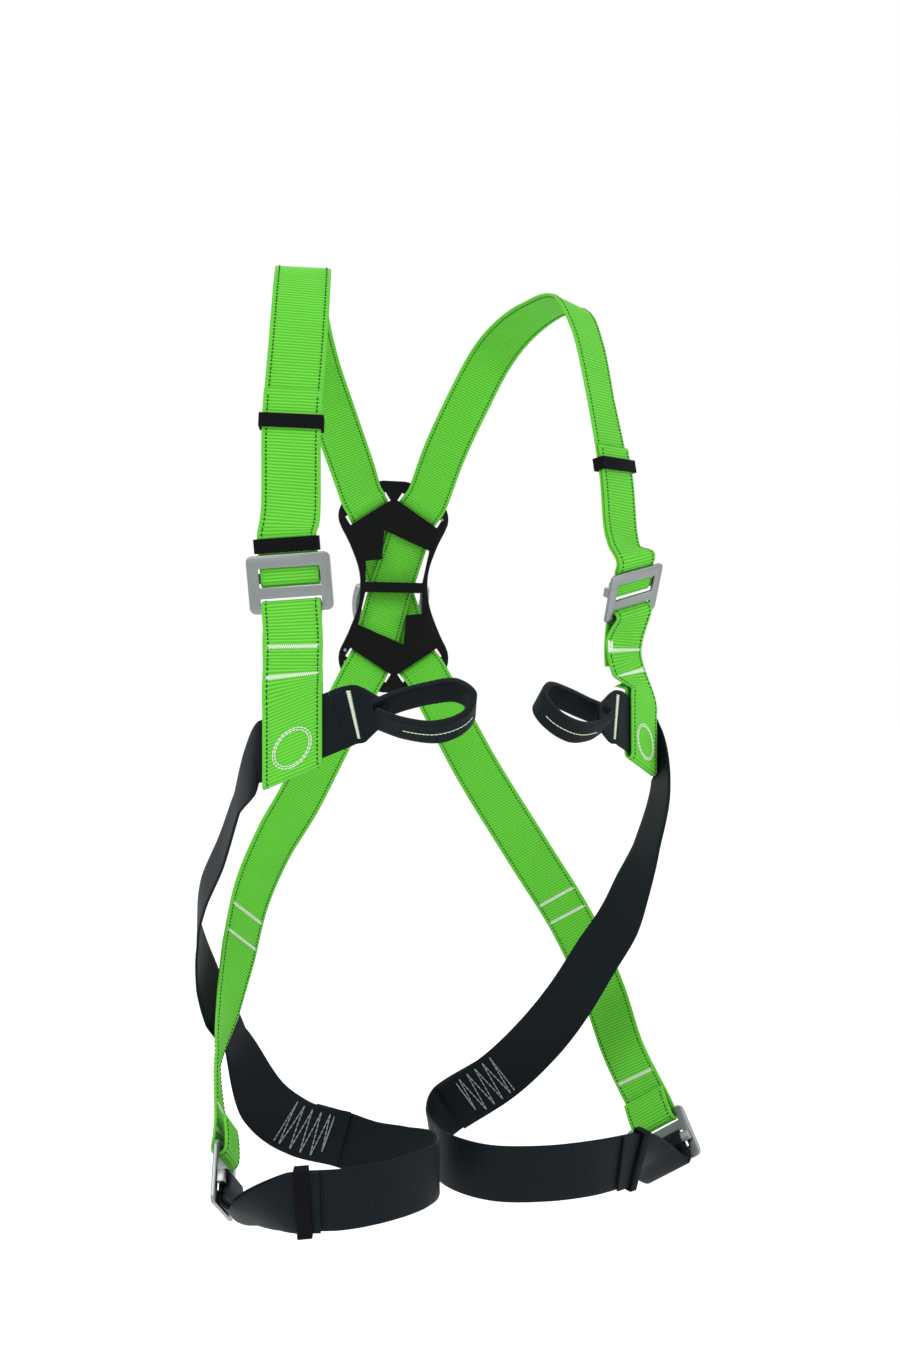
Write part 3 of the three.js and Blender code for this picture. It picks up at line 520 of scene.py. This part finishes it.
def webbing_material(name, base, dark, rough, sheen, sheen_tint):
    made, tree, bsdf = new_material(name)
    nodes, links = tree.nodes, tree.links
    uv = nodes.new("ShaderNodeUVMap")
    uv.uv_map = "weave"
    split = nodes.new("ShaderNodeSeparateXYZ")
    links.new(uv.outputs[0], split.inputs[0])
    aside = nodes.new("ShaderNodeMath")
    aside.operation = "ABSOLUTE"
    links.new(split.outputs[1], aside.inputs[0])
    edge = nodes.new("ShaderNodeMapRange")
    edge.inputs["From Min"].default_value = 0.0196
    edge.inputs["From Max"].default_value = 0.0218
    links.new(aside.outputs[0], edge.inputs["Value"])
    ribs = nodes.new("ShaderNodeMath")
    ribs.operation = "MULTIPLY"
    ribs.inputs[1].default_value = 2 * math.pi / (RIB_PITCH * MM)
    links.new(split.outputs[0], ribs.inputs[0])
    wave = nodes.new("ShaderNodeMath")
    wave.operation = "COSINE"
    links.new(ribs.outputs[0], wave.inputs[0])
    # Painted shade: the valleys between the ribs are mixed towards the dark colour, while the crests
    # keep the base colour.
    rib_valley_shade_amount = nodes.new("ShaderNodeMapRange")
    rib_valley_shade_amount.inputs["From Min"].default_value = -1.0
    rib_valley_shade_amount.inputs["From Max"].default_value = 1.0
    rib_valley_shade_amount.inputs["To Min"].default_value = 0.7
    rib_valley_shade_amount.inputs["To Max"].default_value = 0.0
    links.new(wave.outputs[0], rib_valley_shade_amount.inputs["Value"])
    place = nodes.new("ShaderNodeTexCoord")
    cloud = nodes.new("ShaderNodeTexNoise")
    cloud.inputs["Scale"].default_value = 24.0
    cloud.inputs["Detail"].default_value = 4.0
    links.new(place.outputs["Object"], cloud.inputs["Vector"])
    tone = nodes.new("ShaderNodeMixRGB")
    tone.inputs[1].default_value = (*[c * 0.88 for c in base], 1)
    tone.inputs[2].default_value = (*[min(c * 1.1, 1) for c in base], 1)
    links.new(cloud.outputs["Fac"], tone.inputs[0])
    rib_valley_shade_mix = nodes.new("ShaderNodeMixRGB")
    rib_valley_shade_mix.inputs[2].default_value = (*dark, 1)
    links.new(rib_valley_shade_amount.outputs[0], rib_valley_shade_mix.inputs[0])
    links.new(tone.outputs[0], rib_valley_shade_mix.inputs[1])
    selvedge = nodes.new("ShaderNodeMixRGB")
    selvedge.inputs[2].default_value = (*[c * 0.8 for c in base], 1)
    links.new(edge.outputs[0], selvedge.inputs[0])
    links.new(rib_valley_shade_mix.outputs[0], selvedge.inputs[1])
    links.new(selvedge.outputs[0], bsdf.inputs["Base Color"])
    bsdf.inputs["Roughness"].default_value = rough
    bsdf.inputs["Sheen Weight"].default_value = sheen
    bsdf.inputs["Sheen Roughness"].default_value = 0.4
    bsdf.inputs["Sheen Tint"].default_value = (*sheen_tint, 1)
    bsdf.inputs["Specular IOR Level"].default_value = 0.12
    return made


def plain_material(name, base, rough, metal=0.0, grain=0.0, grain_scale=200.0, level=0.5):
    made, tree, bsdf = new_material(name)
    nodes, links = tree.nodes, tree.links
    place = nodes.new("ShaderNodeTexCoord")
    noise = nodes.new("ShaderNodeTexNoise")
    noise.inputs["Scale"].default_value = grain_scale
    noise.inputs["Detail"].default_value = 3.0
    links.new(place.outputs["Object"], noise.inputs["Vector"])
    tone = nodes.new("ShaderNodeMixRGB")
    tone.inputs[1].default_value = (*[c * (1 - grain) for c in base], 1)
    tone.inputs[2].default_value = (*[min(c * (1 + grain), 1) for c in base], 1)
    links.new(noise.outputs["Fac"], tone.inputs[0])
    links.new(tone.outputs[0], bsdf.inputs["Base Color"])
    spread = nodes.new("ShaderNodeMapRange")
    spread.inputs["To Min"].default_value = rough * 0.85
    spread.inputs["To Max"].default_value = rough * 1.15
    links.new(noise.outputs["Fac"], spread.inputs["Value"])
    links.new(spread.outputs[0], bsdf.inputs["Roughness"])
    bsdf.inputs["Metallic"].default_value = metal
    bsdf.inputs["Specular IOR Level"].default_value = level
    return made


# The second colour given to each webbing is the painted shade in its rib valleys.
GREEN = webbing_material("green webbing", (0.125, 0.55, 0.042), (0.035, 0.24, 0.012), 0.72, 0.06,
                         (0.8, 1.0, 0.6))
BLACK = webbing_material("black webbing", (0.002, 0.006, 0.009), (0.0005, 0.0012, 0.002), 0.6, 0.02,
                         (0.45, 0.75, 0.85))
STEEL = plain_material("zinc plated steel", (0.24, 0.26, 0.26), 0.34, 1.0, 0.04, 60.0)
PLASTIC = plain_material("black plastic", (0.002, 0.002, 0.0025), 0.45, 0.0, 0.15, 90.0, 0.1)
ELASTIC = plain_material("black elastic", (0.003, 0.003, 0.004), 0.8, 0.0, 0.3, 900.0, 0.08)
DARK_THREAD = plain_material("dark green thread", (0.008, 0.045, 0.012), 0.8, 0.0, 0.2, 700.0, 0.3)
WHITE_THREAD = plain_material("white thread", (0.55, 0.66, 0.5), 0.75, 0.0, 0.06, 700.0, 0.3)
GREY_THREAD = plain_material("grey thread", (0.2, 0.23, 0.22), 0.75, 0.0, 0.08, 700.0, 0.3)


def dress(obj, material, body, slot, *nodes):
    """Gives a piece its material and body; it stands for the CAD nodes named last."""
    obj.data.materials.clear()
    obj.data.materials.append(material)
    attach(obj, body)
    if nodes:
        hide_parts(*nodes)
    return obj


# %% [markdown]
# ## Green straps
# Tails lie 2.8 mm above the straps that they belong to, so they follow the same route.

# %% Green straps
TAIL_SPANS = (0, 3.34)
green = {
    "right_shoulder_strap": follow(RIGHT_SHOULDER), "left_shoulder_strap": follow(LEFT_SHOULDER),
    "right_strap_tail": follow(RIGHT_SHOULDER, TAIL_SPANS, LAYER_LIFT),
    "left_strap_tail": follow(LEFT_SHOULDER, TAIL_SPANS, LAYER_LIFT),
    "right_hip_strap": follow(RIGHT_HIP), "left_hip_strap": follow(LEFT_HIP),
    "right_lower_chest_strap": follow(RIGHT_LOWER), "left_lower_chest_strap": follow(LEFT_LOWER),
}
for name, rows in green.items():
    dress(ribbon(name + "_web", rows), GREEN, "harness", "green_webbing", name)
    dress(edge_stitches(name + "_stitches", rows), DARK_THREAD, "harness", "green_webbing")
    print(name, "length", round(rows["s"][-1]), "mm")

# %% [markdown]
# ## Black straps
# The same webbing in black; its stitches hardly show.

# %% Black straps
black = {
    "right_pelvic_strap": follow(RIGHT_PELVIC), "left_pelvic_strap": follow(LEFT_PELVIC),
    "right_leg_band": follow(RIGHT_BAND), "left_leg_band": follow(LEFT_BAND),
    "right_leg_strap_tail": follow(RIGHT_BAND, (7.6, len(RIGHT_BAND) - 1), LAYER_LIFT),
    "left_leg_strap_tail": follow(LEFT_BAND, (7.6, len(LEFT_BAND) - 1), LAYER_LIFT),
}
for name, rows in black.items():
    dress(ribbon(name + "_web", rows), BLACK, "harness", "black_webbing", name)
    print(name, "length", round(rows["s"][-1]), "mm")

# %% [markdown]
# ## Turns round the sliding bars
# This webbing moves with its bar.

# %% Bar turns
for key, st in SEATS.items():
    place = key.split("_")[1]
    rows = follow(bar_turn(st, place))
    look, slot = (GREEN, "green_webbing") if place == "chest" else (BLACK, "black_webbing")
    dress(ribbon(key + "_turn_web", rows), look, key + "_slider", slot, key + "_bar_wrap")
    if place == "chest":
        dress(edge_stitches(key + "_turn_stitches", rows, sides=(1,)), DARK_THREAD,
              key + "_slider", slot)

# %% [markdown]
# ## Front loops
# The root narrows and thickens smoothly where the webbing starts to fold.

# %% Front loops
def smooth_step(t, low, high):
    f = np.clip((t - low) / (high - low), 0, 1)
    return f * f * (3 - 2 * f)


for side, root, eye in (("right", RIGHT_ROOT, RIGHT_EYE), ("left", LEFT_ROOT, LEFT_EYE)):
    name = side + "_front_loop"
    rows = follow(root)
    t = rows["s"] / rows["s"][-1]
    widths = WEB_WIDTH + (NECK_WIDTH - WEB_WIDTH) * smooth_step(t, 0.35, 1)
    thicks = WEB_THICK + (NECK_THICK - WEB_THICK) * smooth_step(t, 0.3, 1)
    eye_rows = follow(eye)
    dress(ribbon(name + "_root", rows, widths, thicks), BLACK, name, "black_webbing", name)
    dress(ribbon(name + "_eye", eye_rows, EYE_WIDTH, EYE_THICK, EYE_RIB), BLACK, name, "black_webbing")
    tack = sewn_path(rows, bartack_path(12.5, 18.5), 1, WEB_THICK)
    end = eye_rows["s"][-1]
    seam = [(s, 0.0) for s in np.arange(end * 0.56, end - 20, 3.0)]
    line = [sewn_path(eye_rows, seam, 1, EYE_THICK)]
    dress(sew(name + "_thread", tack, *line), WHITE_THREAD, name, "black_webbing")

# %% [markdown]
# ## White bartacks and round seams
# Close zigzags of thick thread hold the sewn ends of the straps. Each is placed by its
# distance along the strap.

# %% Bartacks
TACKS = {
    "right_lower_chest_strap": (1, [92.0, 114.0]),
    "left_lower_chest_strap": (1, [98.0, 119.0]),
    "right_hip_strap": (-1, [298.0, 324.0, 473.0, 492.0]),
    "left_hip_strap": (-1, [281.0, 301.0, 462.0, 482.0]),
}
for name, (side, places) in TACKS.items():
    paths = [sewn_path(green[name], bartack_path(s), side) for s in places]
    dress(sew(name + "_bartacks", *paths), WHITE_THREAD, "harness", "green_webbing")

ROUND_SEAMS = {"right_lower_chest_strap": (168.8, 0.0), "left_lower_chest_strap": (181.5, 0.0)}
for name, (s, x) in ROUND_SEAMS.items():
    paths = [sewn_path(green[name], circle_path(s, x, r), 1) for r in (13.0, 14.6)]
    dress(sew(name + "_round_seam", *paths, radius=0.6), WHITE_THREAD, "harness", "green_webbing")

PATCHES = {"right_pelvic_strap": (-1, -52.0, -14.0), "left_pelvic_strap": (1, -58.0, -18.0)}
for name, (side, first, last) in PATCHES.items():
    end = black[name]["s"][-1]
    path = zigzag_path(end + first, end + last, PATCH_HALF, PATCH_LEGS)
    frame_path = [(end + first, v) for v in np.linspace(-PATCH_HALF, PATCH_HALF, 12)]
    paths = [sewn_path(black[name], p, side) for p in (path, frame_path)]
    dress(sew(name + "_box_seam", *paths, radius=0.6), GREY_THREAD, "harness", "black_webbing")

# %% [markdown]
# ## Small pale details
# A blank white tag shows at the edge of the left lower chest strap, and pale dots lie beside
# the plate's slot ends.

# %% Tag and dots
chest = green["left_lower_chest_strap"]
keep = (chest["s"] > 91) & (chest["s"] < 100)
tag_rows = {k: v[keep] for k, v in chest.items()}
tag_rows["s"] = tag_rows["s"] - tag_rows["s"][0]
tag_rows["p"] = tag_rows["p"] + tag_rows["a"] * 19 + tag_rows["n"] * (WEB_THICK / 2 + 0.3)
dress(ribbon("left_chest_tag", tag_rows, 6, 0.5, 0), WHITE_THREAD, "harness", "green_webbing")


def dot(x, z, radius=1.6):
    turn = [2 * math.pi * k / DOT_CORNERS for k in range(DOT_CORNERS)]
    return [(x + radius * math.cos(t), -0.45, z + radius * math.sin(t)) for t in turn]


DOTS = [(50.4, 70.9), (-51.1, -64.7), (-51.1, -76.8), (45.0, -69.3)]
verts, faces = [], []
for x, z in DOTS:
    base = len(verts)
    verts += dot(x, z)
    faces.append(tuple(range(base, base + DOT_CORNERS)))
dress(mesh_object("plate_dots", verts, faces), GREY_THREAD, "harness", "plate_plastic")

# %% [markdown]
# ## Hardware
# The steel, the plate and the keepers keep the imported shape; copies with softened edges
# stand for them.

# %% Softened copies
def softened(node, name, width, angle=30, segments=2):
    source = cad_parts[node]
    mesh = source.data.copy()
    mesh.transform(source.matrix_world)
    bm = bmesh.new()
    bm.from_mesh(mesh)
    bmesh.ops.remove_doubles(bm, verts=bm.verts, dist=2e-6)
    bmesh.ops.dissolve_limit(bm, angle_limit=math.radians(1.0), verts=bm.verts, edges=bm.edges)
    sharp = [e for e in bm.edges
             if len(e.link_faces) == 2 and e.calc_face_angle(0) > math.radians(angle)]
    if width:
        bmesh.ops.bevel(bm, geom=sharp, offset=width * MM, segments=segments, profile=0.5,
                        affect="EDGES", clamp_overlap=True)
    bmesh.ops.recalc_face_normals(bm, faces=bm.faces)
    bm.to_mesh(mesh)
    bm.free()
    mesh.materials.clear()
    mesh.polygons.foreach_set("use_smooth", [True] * len(mesh.polygons))
    mesh.set_sharp_from_angle(angle=math.radians(40))
    obj = bpy.data.objects.new(name, mesh)
    bpy.context.scene.collection.objects.link(obj)
    return obj


for key in SEATS:
    body = key + "_adjuster"
    dress(softened(key + "_frame", key + "_plate", 0.7), STEEL, body, "steel", key + "_frame")
    dress(softened(key + "_sliding_bar", key + "_bar", 0.5), STEEL, key + "_slider", "steel",
          key + "_sliding_bar")
dress(softened("dorsal_plate", "back_plate", 0.8), PLASTIC, "harness", "plate_plastic",
      "dorsal_plate")
dress(softened("dorsal_ring", "back_ring", 0, 60), STEEL, "dorsal_ring", "steel", "dorsal_ring")
for node in ("right_chest_upper_keeper", "right_chest_lower_keeper", "left_chest_keeper",
             "right_leg_keeper", "left_leg_keeper"):
    dress(softened(node, node + "_band", 0.5), ELASTIC, node, "elastic", node)

# %% [markdown]
# ## Light, floor and camera
# A pale floor that glows faintly, so its far edge meets the pale sky unseen, a large soft key
# light from the upper left, a weaker fill from the right and a soft light from above behind.
# The camera stands level, a metre in front and a little to one side.

# %% Stage
floor_mesh = bpy.data.meshes.new("floor")
floor_corners = [(a * FLOOR_HALF, b * FLOOR_HALF, FLOOR_Z)
                 for a, b in ((-1, -1), (1, -1), (1, 1), (-1, 1))]
floor_mesh.from_pydata(floor_corners, [], [(0, 1, 2, 3)])
floor = bpy.data.objects.new("floor", floor_mesh)
bpy.context.scene.collection.objects.link(floor)
floor_mesh.materials.append(plain_material("pale floor", (0.9, 0.9, 0.9), 0.8, 0.0, 0.01, 3.0))
glow = floor_mesh.materials[0].node_tree.nodes["Principled BSDF"]
glow.inputs["Emission Color"].default_value = (1, 1, 1, 1)
glow.inputs["Emission Strength"].default_value = 0.14

world = bpy.data.worlds.new("pale sky")
world.use_nodes = True
world.node_tree.nodes["Background"].inputs["Color"].default_value = (1, 1, 1, 1)
world.node_tree.nodes["Background"].inputs["Strength"].default_value = 1.0
bpy.context.scene.world = world


def soft_light(name, place, target, size, power):
    data = bpy.data.lights.new(name, "AREA")
    data.shape = "SQUARE"
    data.size = size
    data.energy = power
    lamp = bpy.data.objects.new(name, data)
    lamp.location = place
    way = np.array(target, float) - np.array(place, float)
    lamp.rotation_euler = [math.atan2(math.hypot(way[0], way[1]), -way[2]), 0,
                           math.atan2(way[1], way[0]) - math.pi / 2]
    bpy.context.scene.collection.objects.link(lamp)


soft_light("key", (-1.4, -1.6, 1.3), (0, -0.15, -0.1), 1.2, 22)
soft_light("fill", (1.6, -1.3, 0.2), (0, -0.15, -0.2), 1.4, 9)
soft_light("top", (0.2, 0.8, 1.6), (0, -0.1, 0), 1.4, 10)

TURN = math.radians(-15)
camera = bpy.data.objects.new("camera", bpy.data.cameras.new("camera"))
camera.location = (-0.2237, -1.055, -0.090)
camera.rotation_euler = (math.radians(90), 0, TURN)
camera.data.lens = 28.0
camera.data.sensor_width = 36.0
camera.data.clip_start = 0.05
bpy.context.scene.collection.objects.link(camera)
bpy.context.scene.camera = camera
bpy.context.scene.view_settings.view_transform = "Standard"
